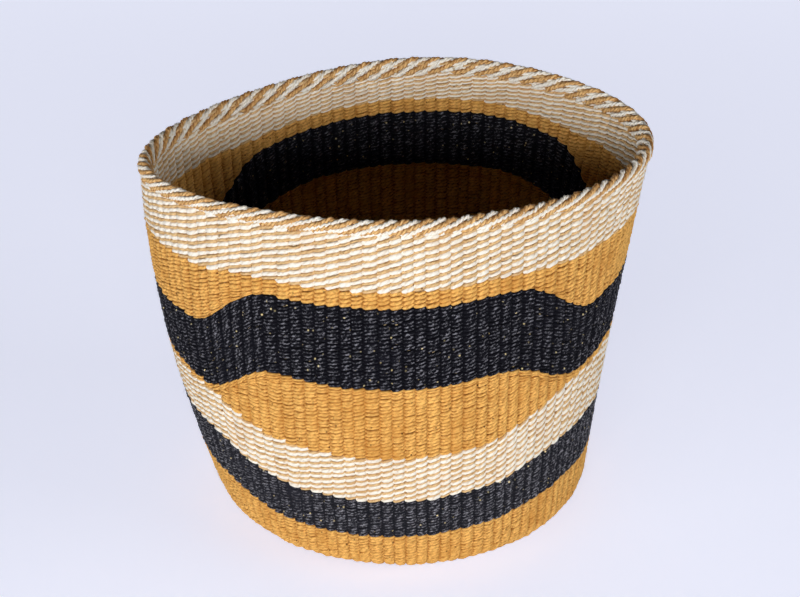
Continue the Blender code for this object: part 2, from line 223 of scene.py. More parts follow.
def rim_point(angle):
    """Outer top edge: an oval, with small waves of two and three to a turn added to it."""
    x = ((RIM_WIDTH / 2 - RIM_POINT) * np.cos(angle) + RIM_POINT * np.cos(3 * angle)
         + RIM_SKEW * np.sin(2 * angle))
    y = RIM_DEPTH / 2 * np.sin(angle)
    z = (RIM_LEVEL + RIM_TILT * np.cos(angle) - RIM_SADDLE * np.cos(2 * angle)
         + RIM_TWIST * np.sin(2 * angle))
    return np.stack([x, y, z], axis=-1)


def belly(angle):
    """Sideways swell of the wall halfway up."""
    lean = (RIGHT_BELLY - LEFT_BELLY) / 2 * np.cos(angle)
    x = np.cos(angle) * ((LEFT_BELLY + RIGHT_BELLY) / 2 + lean)
    return np.stack([x, FRONT_BELLY * np.sin(angle), 0 * x], axis=-1)


def outward(angle):
    """Level direction away from the middle."""
    return np.stack([np.cos(angle), np.sin(angle), 0 * angle], axis=-1)


# %% The outer surface of the basket
def heel_turn(angle):
    """How far the heel turns up: a right angle less the outward lean of the wall."""
    heel = [BASE_SHIFT, 0.0, HEEL_RADIUS] + outward(angle) * (GROUND_RADIUS + HEEL_RADIUS)
    rise = rim_point(angle) - heel
    lean = np.sum((rise + 4 * belly(angle)) * outward(angle), axis=-1) / rise[..., 2]
    return math.pi / 2 - np.arctan(lean)


def heel_point(angle, turn):
    """Point on the rounded heel, turned up from the ground by the angle turn."""
    point = outward(angle) * (GROUND_RADIUS + HEEL_RADIUS * np.sin(turn))[..., None]
    point[..., 0] += BASE_SHIFT
    point[..., 2] = HEEL_RADIUS * (1 - np.cos(turn))
    return point


def wall_length(angle):
    """Length from the ground to the rim: the heel's arc, then a chord with a shallow bow."""
    turn = heel_turn(angle)
    chord = np.linalg.norm(rim_point(angle) - heel_point(angle, turn), axis=-1)
    swell = np.linalg.norm(belly(angle), axis=-1)
    return HEEL_RADIUS * turn + chord + 8 * swell ** 2 / (3 * chord)


def outer_point(angle, along):
    """Flat disc below zero, then the heel's arc, then a straight wall swelled by the belly."""
    turn = heel_turn(angle)
    heel_length = HEEL_RADIUS * turn
    base = outward(angle) * (GROUND_RADIUS + along)[..., None]
    base[..., 0] += BASE_SHIFT
    heel = heel_point(angle, np.clip(along / HEEL_RADIUS, 0.0, turn))
    share = ((along - heel_length) / (wall_length(angle) - heel_length))[..., None]
    wall = heel + (rim_point(angle) - heel) * share + belly(angle) * 4 * share * (1 - share)
    point = np.where((along < 0)[..., None], base, heel)
    return np.where((along > heel_length)[..., None], wall, point)


def wall_point(angle, along, depth):
    """Point at a depth below the outer surface, and the outward direction there, which is
    square to a small step round the basket and a small step up."""
    turn_step = SLOPE_STEP / GROUND_RADIUS
    across = outer_point(angle + turn_step, along) - outer_point(angle - turn_step, along)
    up = outer_point(angle, along + SLOPE_STEP) - outer_point(angle, along - SLOPE_STEP)
    out = np.cross(across, up)
    out /= np.linalg.norm(out, axis=-1, keepdims=True)
    return outer_point(angle, along) - out * depth[..., None], out


def band_levels(angle):
    """Lengths along the wall at which the bands end, stretched to fit the wall's length."""
    tops = np.cumsum(band_heights(angle), axis=0)
    return tops * (wall_length(angle) / tops[RIM])


all_round = np.radians(np.arange(0, 360.5, 0.5))
for what, sizes in (("wall length", wall_length(all_round)),
                    ("rim height", rim_point(all_round)[:, 2])):
    print(what, "in mm:", round(sizes.min() / MM, 1), "to", round(sizes.max() / MM, 1))

# %% [markdown]
# ## Tubes and bundles
#
# Every strand is a tube. A tube could be a curve with a bevel, but nearly 600 curves with
# more than 100,000 points are slow, and a mesh worked out with numpy can carry its own
# texture map: length along the strand one way and the turn round it the other way. A bundle
# joins all the tubes of a piece in one mesh. It also lays out a second map for baking, with
# one strip for each tube, so that no part of it overlaps another.

# %% A mesh from whole arrays
STRAND_OFFSET = 7           # cm of texture between one strand's start and the next one's
STRIP_MARGIN = 0.03         # free edge of a tube's strip in the map for baking, as a share of it
CM = 10 * MM


def strip_height(share, strip, strips):
    """Height in the map for baking of a place at a share of the turn round a tube."""
    return (strip + STRIP_MARGIN + (1 - 2 * STRIP_MARGIN) * share) / strips


def write_mesh(name, points, faces, maps, hollow):
    """Points, arrays of faces with four and with more corners, maps with a place for each
    corner, and for each point how far it lies in a crossing."""
    corners = np.concatenate([part.ravel() for part in faces])
    sizes = np.concatenate([np.full(len(part), part.shape[1]) for part in faces])
    mesh = bpy.data.meshes.new(name)
    mesh.vertices.add(len(points))
    mesh.vertices.foreach_set("co", points.astype(np.float32).ravel())
    mesh.loops.add(len(corners))
    mesh.loops.foreach_set("vertex_index", corners.astype(np.int32))
    mesh.polygons.add(len(sizes))
    mesh.polygons.foreach_set("loop_start", (np.cumsum(sizes) - sizes).astype(np.int32))
    for layer, places in maps.items():
        uv_map = mesh.uv_layers.new(name=layer, do_init=False)
        uv_map.data.foreach_set("uv", np.concatenate(places).astype(np.float32).ravel())
    # The finishes read this to paint shade in the crossings.
    attribute = mesh.attributes.new("hollow", "FLOAT", "POINT")
    attribute.data.foreach_set("value", hollow.astype(np.float32))
    mesh.update(calc_edges=True)
    mesh.shade_smooth()
    return mesh


# %% A bundle of tubes in one mesh
class Bundle:
    """Collects tubes, each a grid of rings by sides, and makes one object of them."""

    def __init__(self):
        self.tubes = []

    def add(self, rings, closed, hollow=0.0, start=0.0, end=1.0):
        """rings is an array of rings by sides by 3, and hollow says how far each ring lies in a
        crossing. start and end place the tube along its strip."""
        middle = rings.mean(axis=1)
        following = np.roll(middle, -1, axis=0) if closed else middle[1:]
        gaps = np.linalg.norm(following - middle[:len(following)], axis=-1)
        self.tubes.append((rings, closed, np.concatenate([[0.0], np.cumsum(gaps)]), start, end,
                           np.broadcast_to(hollow, len(rings))))

    def faces(self, tube, first):
        """Corner numbers of a tube's four-sided faces, and of its end caps if it is open."""
        rings, closed = tube[:2]
        count, sides = rings.shape[:2]
        ring = np.arange(count if closed else count - 1)[:, None] * sides
        after = (ring + sides) % (count * sides)
        side = np.arange(sides)
        next_side = (side + 1) % sides
        quads = np.stack([ring + side, ring + next_side, after + next_side, after + side],
                         axis=-1)
        caps = np.zeros((0, sides), int)
        if not closed:
            caps = np.stack([side[::-1], side + (count - 1) * sides])
        return quads.reshape(-1, 4) + first, caps + first

    def maps(self, tube, strip, strips):
        """Corner places of a tube in the strand map, in cm by turns, and in the map for
        baking."""
        rings, closed, lengths, start, end = tube[:5]
        sides = rings.shape[1]
        count = len(lengths) - 1
        along = np.arange(count)[:, None] + np.array([0, 0, 1, 1])
        along = np.repeat(along[:, None, :], sides, axis=1)
        round_it = (np.arange(sides)[:, None] + [[0, 1, 1, 0]]) / sides
        round_it = np.broadcast_to(round_it, (count, sides, 4))
        strand = np.stack([lengths[along] / CM + STRAND_OFFSET * strip, round_it], axis=-1)
        share = start + (end - start) * along / count
        bake = np.stack([share, strip_height(round_it, strip, strips)], axis=-1)
        return strand.reshape(-1, 2), bake.reshape(-1, 2)

    def cap_maps(self, tube, strip, strips):
        """Corner places of an open tube's two end caps in the map for baking."""
        rings, closed, _, start, end = tube[:5]
        sides = rings.shape[1]
        height = strip_height(np.arange(sides) / sides, strip, strips)
        ends = () if closed else (start, end)
        return [np.stack([np.full(sides, place), height], axis=-1) for place in ends]

    def finish(self, name, material):
        """Joins the points, faces and maps of all the tubes and makes one object of them."""
        quads, caps, strands, bakes, cap_bakes = [], [], [], [], []
        first = 0
        for strip, tube in enumerate(self.tubes):
            tube_quads, tube_caps = self.faces(tube, first)
            strand, bake = self.maps(tube, strip, len(self.tubes))
            quads.append(tube_quads)
            caps.append(tube_caps)
            strands.append(strand)
            bakes.append(bake)
            cap_bakes += self.cap_maps(tube, strip, len(self.tubes))
            first += tube[0].shape[0] * tube[0].shape[1]
        points = np.concatenate([tube[0].reshape(-1, 3) for tube in self.tubes])
        quads, caps = np.concatenate(quads), np.concatenate(caps)
        cap_bake = np.concatenate(cap_bakes) if cap_bakes else np.zeros((0, 2))
        maps = {"strand": strands + [0 * cap_bake], "OFBake": bakes + [cap_bake]}
        hollow = np.concatenate([np.repeat(tube[5], tube[0].shape[1]) for tube in self.tubes])
        mesh = write_mesh(name, points, (quads, caps), maps, hollow)
        mesh.materials.append(material)
        print(name, len(self.tubes), "tubes,",
              2 * len(quads) + len(caps) * (caps.shape[1] - 2), "triangles")
        return add_object(name, mesh)


# %% A tube round a path
def tube_rings(centre, out, wide, deep, closed, sides=6):
    """Rings of points round a path. With t along the path, b square to both t and out, and
    psi the turn round the tube, a point is centre + deep cos(psi) out + wide sin(psi) b."""
    if closed:
        along = np.roll(centre, -1, axis=0) - np.roll(centre, 1, axis=0)
    else:
        along = np.gradient(centre, axis=0)
    along /= np.linalg.norm(along, axis=-1, keepdims=True)
    out = out - along * np.sum(out * along, axis=-1, keepdims=True)
    out /= np.linalg.norm(out, axis=-1, keepdims=True)
    across = np.cross(along, out)
    psi = 2 * math.pi * np.arange(sides) / sides
    deep = np.broadcast_to(deep, len(centre))[:, None, None] * np.cos(psi)[:, None]
    wide = np.broadcast_to(wide, len(centre))[:, None, None] * np.sin(psi)[:, None]
    return centre[:, None] + deep * out[:, None] + wide * across[:, None]


# %% [markdown]
# ## Sisal
#
# Sisal is a coarse, dry leaf fibre. Two plies of it are rolled on the thigh into a strand, so
# every strand shows two slanting ridges and many fibres that run with the twist. An image of
# such a strand would repeat. Here the pattern is worked out from the strand's own map: the
# ridge is a wave of the turn, and the fibres are noise stretched along the twist. Dyed
# strands also change a little from one stitch to the next, because each is spun from several
# handfuls of fibre.

# %% Shader expressions
class Socket:
    """An output of a shader node. Sums and products of sockets and numbers add Math nodes."""

    def __init__(self, finish, output):
        self.finish = finish
        self.output = output

    def math(self, operation, first, second=0.0):
        inputs = {0: first, 1: second}
        return self.finish.node("ShaderNodeMath", {"operation": operation}, inputs)

    def __add__(self, other):
        return self.math("ADD", self, other)

    def __radd__(self, other):
        return self.math("ADD", other, self)

    def __sub__(self, other):
        return self.math("SUBTRACT", self, other)

    def __rsub__(self, other):
        return self.math("SUBTRACT", other, self)

    def __mul__(self, other):
        return self.math("MULTIPLY", self, other)

    def __rmul__(self, other):
        return self.math("MULTIPLY", other, self)

    def other(self, number):
        """Another output of the same node."""
        return Socket(self.finish, self.output.node.outputs[number])

    def cosine(self):
        return self.math("COSINE", self)

    def sine(self):
        return self.math("SINE", self)


class Finish:
    """Nodes of a material or a world under construction, with one method that adds any node."""

    def __init__(self, owner):
        self.owner = owner
        owner.use_nodes = True
        self.tree = owner.node_tree

    def node(self, kind, settings=None, inputs=None, output=0):
        """Adds a node, sets its settings, then its sockets, and returns one output."""
        added = self.tree.nodes.new(kind)
        for key, value in (settings or {}).items():
            setattr(added, key, value)
        self.fill(added, inputs or {})
        return Socket(self, added.outputs[output])

    def fill(self, node, inputs):
        """Links a node's sockets to other nodes or sets their values."""
        for key, value in inputs.items():
            if isinstance(value, Socket):
                self.tree.links.new(value.output, node.inputs[key])
            else:
                node.inputs[key].default_value = value

    def mix(self, share, first, second):
        """Colour first where share is 0, second where it is 1."""
        inputs = {0: share, 6: first, 7: second}
        return self.node("ShaderNodeMix", {"data_type": "RGBA"}, inputs, 2)

    def noise(self, vector, scale, detail=2.0, roughness=0.5):
        """Noise between 0 and 1, with about scale waves in each unit of vector."""
        return self.node("ShaderNodeTexNoise", None, {
            "Vector": vector, "Scale": scale, "Detail": detail, "Roughness": roughness})

    def spread(self, value, low, high):
        """value mapped so that low gives 0 and high gives 1, held at those ends."""
        inputs = {"Value": value, "From Min": low, "From Max": high}
        return self.node("ShaderNodeMapRange", None, inputs)


# %% The pattern of a strand
TWISTS_PER_CM = 1.4         # turns of a strand's plies in each centimetre
FIBRE_FINENESS = 2.2        # the more, the finer the fibres lie side by side round a strand
FIBRE_STRETCH = 3.4         # fibre patches in each centimetre
HANDFULS_PER_CM = 1.1       # handfuls of fibre that went into each centimetre


def strand_pattern(finish):
    """With twist = turn + twists along the strand: noise at (cos twist, sin twist, length) is
    the fibres, noise of the length alone the handfuls, (1 + cos 2 twist) / 2 the ridges of the
    two plies, and cos(turn)^2 the crown of a stitch, outside and inside. The finishes use the
    ridges and the crowns to paint shade between them."""
    length = finish.node("ShaderNodeSeparateXYZ", None, {
        0: finish.node("ShaderNodeUVMap", {"uv_map": "strand"})})
    turn = length.other(1)
    twist = (turn + length * TWISTS_PER_CM) * (2 * math.pi)
    around = finish.node("ShaderNodeCombineXYZ", None, {
        0: twist.cosine() * FIBRE_FINENESS, 1: twist.sine() * FIBRE_FINENESS,
        2: length * FIBRE_STRETCH})
    stitch = finish.node("ShaderNodeCombineXYZ", None, {0: length * HANDFULS_PER_CM})
    fibres = finish.noise(around, 1.0, detail=3.0, roughness=0.65)
    handfuls = finish.noise(stitch, 1.0, detail=1.0)
    ridge = (twist * 2.0).cosine() * 0.5 + 0.5
    crown = (turn * (4 * math.pi)).cosine() * 0.5 + 0.5
    return fibres, handfuls, ridge, crown


# %% [markdown]
# A strand's shade is a sum of shares. The fibres and the flecks of dust and wear share one
# part of it, and the more a finish is flecked, the less its fibres and its plies show. The
# groove between the plies, the places where a strand dives into the weave and the sides of a
# stitch between two rows are made darker, which is painted shade. On the black strands the
# light end of the mix is pale fibre together with a painted sheen, which these shares keep to
# the crowns of the stitches. Last come slow patches of another shade and a few specks; the
# dark ones on the golden tan are painted shade for the small holes between stitches.

# %% The sisal finish
FIBRES_AND_FLECKS = 0.72    # part of fibres and flecks together in the shade
FLECKS_AND_PLY_PAINTED_SHADE = 0.48     # part of flecks and of the painted shade between the plies together
HANDFUL_SHADE = 0.12        # part of the handfuls
HOLLOW_PAINTED_SHADE = 0.18         # painted shade: how much darker a strand is where it dives into a crossing and on the sides of a stitch, between two rows
ROW_GAP_PAINTED_SHADE = 0.15         # and between two rows
FLECK_FLATNESS = 1.7        # how much wider than tall a fleck is on the wall
PATCH_SCALE = 60.0          # patches in each metre
PATCH_SPAN = (0.50, 0.75)   # noise at which a patch starts and at which it is full
PATCH_STRENGTH = 0.6
SPECK_EDGE = (0.14, 0.08)   # outer and inner radius of a speck's soft edge, in cells
SPECK_CHANCE = (0.1, 0.8)   # below the first a cell has no speck, above the second a clear one
FIBRE_RELIEF = 0.6          # part of the fibres in the bump; the plies make the rest


def sisal(name, light, dark, patch, speck, shade_span=(0.38, 0.62), specks=220.0,
          roughness=0.8, specular=0.15, bump=0.25, fleck_share=0.32, fleck_scale=600.0,
          hollow_painted_shade=HOLLOW_PAINTED_SHADE):
    """Fibres, flecks and handfuls, plus painted shade in the groove between the plies, in the
    hollows and on the sides of a stitch, mix light with dark over shade_span. Flecks are noise
    at the place on the basket. Slow noise mixes in patch. The middles of Voronoi cells are
    specks, faint or clear."""
    finish = Finish(bpy.data.materials.new(name))
    fibres, handfuls, ridge, crown = strand_pattern(finish)
    place = finish.node("ShaderNodeTexCoord", output=3)
    flat = finish.node("ShaderNodeVectorMath", {"operation": "MULTIPLY"}, {
        0: place, 1: (1.0, 1.0, FLECK_FLATNESS)})
    flecks = finish.noise(flat, fleck_scale, detail=2.0, roughness=0.6)
    hollow = finish.node("ShaderNodeAttribute", {"attribute_name": "hollow"}, output=2)
    # The ply, hollow and row-gap shares are painted shade; on the black finishes the light they
    # leave on the crowns is a painted sheen.
    shade = (fibres * (FIBRES_AND_FLECKS - fleck_share) + flecks * fleck_share
             + handfuls * HANDFUL_SHADE + (1 - ridge) * (FLECKS_AND_PLY_PAINTED_SHADE - fleck_share)
             + hollow * hollow_painted_shade + (1 - crown) * ROW_GAP_PAINTED_SHADE)
    colour = finish.mix(finish.spread(shade, *shade_span), (*light, 1), (*dark, 1))
    patches = finish.spread(finish.noise(place, PATCH_SCALE), *PATCH_SPAN)
    colour = finish.mix(patches * PATCH_STRENGTH, colour, (*patch, 1))
    cells = finish.node("ShaderNodeTexVoronoi", None, {"Vector": place, "Scale": specks})
    chance = finish.node("ShaderNodeSeparateXYZ", None, {0: cells.other(1)})
    clear = finish.spread(cells, *SPECK_EDGE) * finish.spread(chance, *SPECK_CHANCE)
    colour = finish.mix(clear, colour, (*speck, 1))
    height = fibres * FIBRE_RELIEF + ridge * (1 - FIBRE_RELIEF)
    normal = finish.node("ShaderNodeBump", None, {
        "Strength": 1.0, "Distance": bump * MM, "Height": height})
    finish.fill(finish.tree.nodes["Principled BSDF"], {
        "Base Color": colour, "Normal": normal, "Roughness": roughness,
        "Specular IOR Level": specular})
    return finish.owner


# %% The dyed and undyed strands
TAN_FLECKS = {"shade_span": (0.42, 0.70), "fleck_share": 0.40, "fleck_scale": 760.0}
BLACK_FIBRE = {"speck": (0.85, 0.70, 0.38), "roughness": 0.7, "specular": 0.04, "bump": 0.3,
               "fleck_share": 0.42, "fleck_scale": 820.0}
# The golden tan's dark brown specks are painted shade for the small holes between stitches,
# scattered at random.
tan_sisal = sisal(
    "golden_sisal", light=(0.95, 0.55, 0.155), dark=(0.36, 0.130, 0.020),
    patch=(0.60, 0.27, 0.050), speck=(0.10, 0.035, 0.008), hollow_painted_shade=0.15, **TAN_FLECKS)
pale_tan_sisal = sisal(
    "pale_tan_sisal", light=(0.82, 0.565, 0.29), dark=(0.38, 0.19, 0.06),
    patch=(0.58, 0.34, 0.15), speck=(0.20, 0.09, 0.03), hollow_painted_shade=0.10, **TAN_FLECKS)
rope_tan_sisal = sisal(
    "rope_tan_sisal", light=(0.86, 0.55, 0.24), dark=(0.36, 0.16, 0.045),
    patch=(0.58, 0.30, 0.10), speck=(0.16, 0.06, 0.02), shade_span=(0.42, 0.68))
white_sisal = sisal(
    "bleached_sisal", light=(0.97, 0.93, 0.85), dark=(0.68, 0.56, 0.40),
    patch=(0.86, 0.77, 0.65), speck=(0.50, 0.36, 0.20), shade_span=(0.52, 0.80),
    specks=120.0, roughness=0.75, specular=0.2, hollow_painted_shade=0.06)
# On both black finishes the light colour is pale fibre together with a bluish painted sheen,
# which the shade shares keep to the crowns of the stitches.
black_sisal = sisal(
    "black_sisal", light=(0.30, 0.295, 0.34), dark=(0.006, 0.006, 0.009),
    patch=(0.009, 0.009, 0.014), shade_span=(0.335, 0.485), **BLACK_FIBRE)
# A paler, bluer black, used for the lower band.
paler_black_sisal = sisal(
    "paler_black_sisal", light=(0.34, 0.335, 0.38), dark=(0.016, 0.016, 0.021),
    patch=(0.022, 0.022, 0.030), shade_span=(0.355, 0.505), **BLACK_FIBRE)
raw_sisal = sisal(
    "raw_sisal", light=(0.76, 0.60, 0.36), dark=(0.45, 0.31, 0.14),
    patch=(0.52, 0.37, 0.18), speck=(0.30, 0.20, 0.09))
print("sisal finishes:", [material.name for material in (
    tan_sisal, pale_tan_sisal, rope_tan_sisal, white_sisal, black_sisal, paler_black_sisal,
    raw_sisal)])

# %% [markdown]
# ## Twining
#
# In each row the two strands are the two halves of a flattened helix round the middle of the
# wall, half a turn apart. The helix makes one turn in two warps. Each stitch rises to the
# right, seen from outside and also from inside. The next row starts one warp later, and with
# one white and one tan strand that makes the slanting stripes of a kiondo. One stitch could
# be modelled and repeated with an Array and a Curve modifier, but on an oval wall with bands
# that swell every stitch has its own width, height and slope. So each strand is one long tube
# along its own path, and four rings to a warp are enough for it.

# %% Sizes of the twining
WARPS = 108
STEP_SHARES = np.array([0.0, 0.3, 0.5, 0.7])    # where a strand's rings lie between two warps
SAMPLES = len(STEP_SHARES)
STRAND_RADIUS = 1.30 * MM   # half a strand's thickness, square to the wall
STRAND_SWING = WALL / 2 - STRAND_RADIUS
SWING_POWER = 0.39          # below 1 the strand hugs the warp and crosses over quickly
RISE_SHARE = 0.33           # rise and fall of a strand, as a share of the row's height
PLUMP_SHARE = 0.56          # half a strand's height, as a share of the row's height
PINCH = 0.70                # thickness of a strand at a crossing, as a share of the full one
HEIGHT_PINCH = 0.90         # the same for its height


def ring_steps(start, length, closed):
    """Steps, in warps, of a strand's rings from one warp on over a number of warps."""
    steps = (start + np.arange(length)[:, None] + STEP_SHARES).ravel()
    return steps if closed else np.append(steps, start + length)


# %% [markdown]
# Handwork is uneven in two ways. Each stitch differs a little from the next, which is a random
# number for each warp. The rows, the warps and the wall itself also wander slowly, which is a
# sum of a few waves, so that neighbouring rows wander together.

# %% Unevenness of handwork
STITCH_SPREAD = 0.12        # how much the stitches of a row differ in thickness,
SWING_SPREAD = 0.08         # in distance from the middle of the wall,
RISE_SPREAD = 0.10          # and in height, as a share of the row's height
ROW_WOBBLE = 0.35 * MM      # how far rows wander up and down from warp to warp,
BAND_WOBBLE = 0.3 * MM      # over a longer way round,
WALL_WOBBLE = 0.3 * MM      # and how far the wall wanders in and out
WARP_WOBBLE = 0.15          # how far warps wander sideways, as a share of the gap between two
WOBBLE_HEIGHT = 60 * MM     # height over which the waves change
WAVES = (                   # number in one turn, change with the height, and start
    (5, 2.1, 0.0), (9, -3.3, 1.0), (14, 4.7, 2.0))
random = np.random.default_rng(7)


def stitch_noise(steps, spread, warps=WARPS):
    """A random number for each stitch, run together in straight lines between stitches."""
    values = random.normal(0.0, spread, warps)
    first = np.floor(steps).astype(int)
    share = steps - first
    return values[first % warps] * (1 - share) + values[(first + 1) % warps] * share


def hand_wobble(angle, along, fineness=1):
    """The mean of the waves round the basket, which change up the wall. fineness multiplies
    their number."""
    height = along / WOBBLE_HEIGHT
    return sum(np.sin(number * fineness * angle + change * height + start)
               for number, change, start in WAVES) / len(WAVES)


def warp_angle(steps, warps=WARPS):
    """Even steps round the basket, moved sideways by the waves of handwork."""
    angle = steps * 2 * math.pi / warps
    return angle + WARP_WOBBLE * 2 * math.pi / WARPS * hand_wobble(angle, 0.0, 3)


# %% One strand of one row
TUCK_LENGTH = 0.8           # warps over which the end of a short row tucks into the wall
TUCKED_HEIGHT = 0.5         # height and thickness left at such an end
TUCKED_DEPTH = 0.6
DEPTH_CHANGE = 0.6          # part of a stitch's change of height that its thickness follows


def twine(bundle, steps, level, height, phase, closed=True, warps=WARPS, strip=(0.0, 1.0),
          plumps=(1.0, 1.0), rise_share=RISE_SHARE, pinches=(PINCH, HEIGHT_PINCH),
          swing_power=SWING_POWER):
    """steps counts warps. With p = pi (steps + phase) the strand lies swing sign(cos p)
    |cos p|^power outside the middle of the wall. Outside, it rises steadily with p, and inside
    it comes down as sin(p)^3, mostly near the two crossings. plumps are its heights outside
    and inside, pinches its thickness and height at a crossing, all as shares. strip is its
    place in the map for baking."""
    angle = warp_angle(steps, warps)
    turn = math.pi * (steps + phase)
    rise = np.where(np.cos(turn) >= 0, np.arcsin(np.clip(np.sin(turn), -1, 1)) * 2 / math.pi,
                    np.sin(turn) ** 3)
    side = np.sign(np.cos(turn)) * np.abs(np.cos(turn)) ** swing_power
    tuck = np.ones_like(steps)
    if not closed:
        tuck = smooth_step(np.minimum(steps - steps[0], steps[-1] - steps) / TUCK_LENGTH)
    crossing = 1 - np.abs(side)
    outside, inside = plumps
    pinch, height_pinch = pinches
    thick = 1 + stitch_noise(steps, STITCH_SPREAD, warps)
    swing = STRAND_SWING * (1 + stitch_noise(steps, SWING_SPREAD, warps)) * tuck
    along = level + height * (rise_share * rise + stitch_noise(steps, RISE_SPREAD, warps))
    along = (along + ROW_WOBBLE * hand_wobble(angle, along, 4)
             + BAND_WOBBLE * hand_wobble(angle, along))
    depth = WALL / 2 - swing * side + WALL_WOBBLE * hand_wobble(angle, along, 2)
    centre, out = wall_point(angle, along, depth)
    wide = PLUMP_SHARE * height * thick * (1 - (1 - height_pinch) * crossing)
    wide = wide * (TUCKED_HEIGHT + (1 - TUCKED_HEIGHT) * tuck)
    wide = wide * (inside + (outside - inside) * (1 + side) / 2)
    deep = STRAND_RADIUS * (1 - DEPTH_CHANGE + DEPTH_CHANGE * thick)
    deep = deep * (1 - (1 - pinch) * crossing) * (TUCKED_DEPTH + (1 - TUCKED_DEPTH) * tuck)
    bundle.add(tube_rings(centre, out, wide, deep, closed), closed, crossing, *strip)


# %% [markdown]
# Where a band is taller at one place than at another, the weaver turns back part of the way
# round and adds short rows. A short row pushes its neighbours apart over the width of two
# warps. So each row has a weight, 1 where it is there and 0 where it is not, and the height
# of the band is shared out by weight. Rows could also be stretched to fill a band, but the
# strands of a real basket are all equally thick.

# %% Runs of warps
SHORTEST_RUN = 3            # warps that a short row passes at the least
LEAST_HEIGHT = 0.35         # height of a row at its very end, as a share of the usual one


def runs(mask):
    """First step and length of each unbroken run of True in a ring of warps."""
    if mask.all():
        return [(0, len(mask))]
    starts = np.flatnonzero(mask & ~np.roll(mask, 1))
    lengths = [int(np.argmin(np.roll(mask, -start))) for start in starts]
    return list(zip(starts, lengths))


def run_weight(steps, start, length):
    """1 inside a run of warps, 0 outside, and a slope of two warps across each of its ends."""
    middle = start + length / 2
    away = np.abs((steps - middle + WARPS / 2) % WARPS - WARPS / 2)
    return np.clip((length / 2 - away + 1) / 2, 0.0, 1.0)


# %% Rows of a band
def row_plan(low_band, high_band, pitch, full_rows=None, longest="low"):
    """Rows between two levels: (number, start, length) for each, and the level and height of
    every row at every ring. Half of the full rows lie below the short ones and half above.
    Where the band has room for n rows, the first n are there, from the longest, which is the
    lowest or the highest of the short rows."""
    steps = ring_steps(0, WARPS, True)
    levels = band_levels(warp_angle(steps))
    low, high = levels[low_band], levels[high_band]
    room = (high - low)[::SAMPLES] / pitch
    full = int(room.min()) if full_rows is None else full_rows
    short = 0 if full_rows else max(int(np.ceil(room.max() - full - 0.5)), 0)
    order = np.arange(full, full + short)
    ranks = np.concatenate([np.full(full // 2, -1), order if longest == "low" else order[::-1],
                            np.full(full - full // 2, -1)])
    rows, weights = [], np.zeros((len(ranks), len(steps)))
    for number, rank in enumerate(ranks):
        for start, length in runs(room >= rank + 0.5 if rank >= 0 else room > -1):
            if length >= SHORTEST_RUN:
                rows.append((number, start, length))
                weight = np.ones(len(steps)) if rank < 0 else run_weight(steps, start, length)
                weights[number] = np.maximum(weights[number], weight)
    total = np.maximum(weights.sum(axis=0), 1.0)
    level = low + (high - low) * (np.cumsum(weights, axis=0) - weights / 2) / total
    height = (high - low) * weights / total
    return rows, level, np.maximum(height, LEAST_HEIGHT * pitch)


# %% A twined band
FRONT, RIGHT, BACK, LEFT = np.radians([270, 0, 90, 180])    # directions from the middle


def twine_band(name, materials, low_band, high_band, pitch, full_rows=None, longest="low",
               parts=1, facing=None, first_row=0, plumps=((1.0, 1.0), (1.0, 1.0)), **stitch):
    """Twines a band. One material makes both strands; two make a white and a tan one. Two
    parts make a piece of each strand. Rows that don't face the direction facing are left out.
    stitch holds what else twine needs to know of the stitches' shape."""
    rows, level, height = row_plan(low_band, high_band, pitch, full_rows, longest)
    if facing is not None:
        middles = [(start + length / 2) * 2 * math.pi / WARPS for _, start, length in rows]
        rows = [row for row, middle in zip(rows, middles) if math.cos(middle - facing) > 0]
    first = min(row[1] for row in rows) - 1
    last = max(row[1] + row[2] for row in rows) + 1
    names = [name]
    if parts == 2:
        names = [f"{name}_a", f"{name}_b"]
    if len(materials) == 2:
        names = [f"{name}_white", f"{name}_tan"]
    bundles = [Bundle() for _ in names]
    for number, start, length in rows:
        closed = length == WARPS
        strip = (0.0, 1.0)
        if not closed:
            start, length = start - 1, length + 2
            strip = ((start - first) / (last - first), (start + length - first) / (last - first))
        steps = ring_steps(start, length, closed)
        rings = (start * SAMPLES + np.arange(len(steps))) % (WARPS * SAMPLES)
        for strand in range(2):
            twine(bundles[strand % len(bundles)], steps, level[number, rings],
                  height[number, rings], first_row + number + strand, closed, strip=strip,
                  plumps=plumps[strand], **stitch)
    return [bundle.finish(piece, materials[index % len(materials)])
            for index, (bundle, piece) in enumerate(zip(bundles, names))]


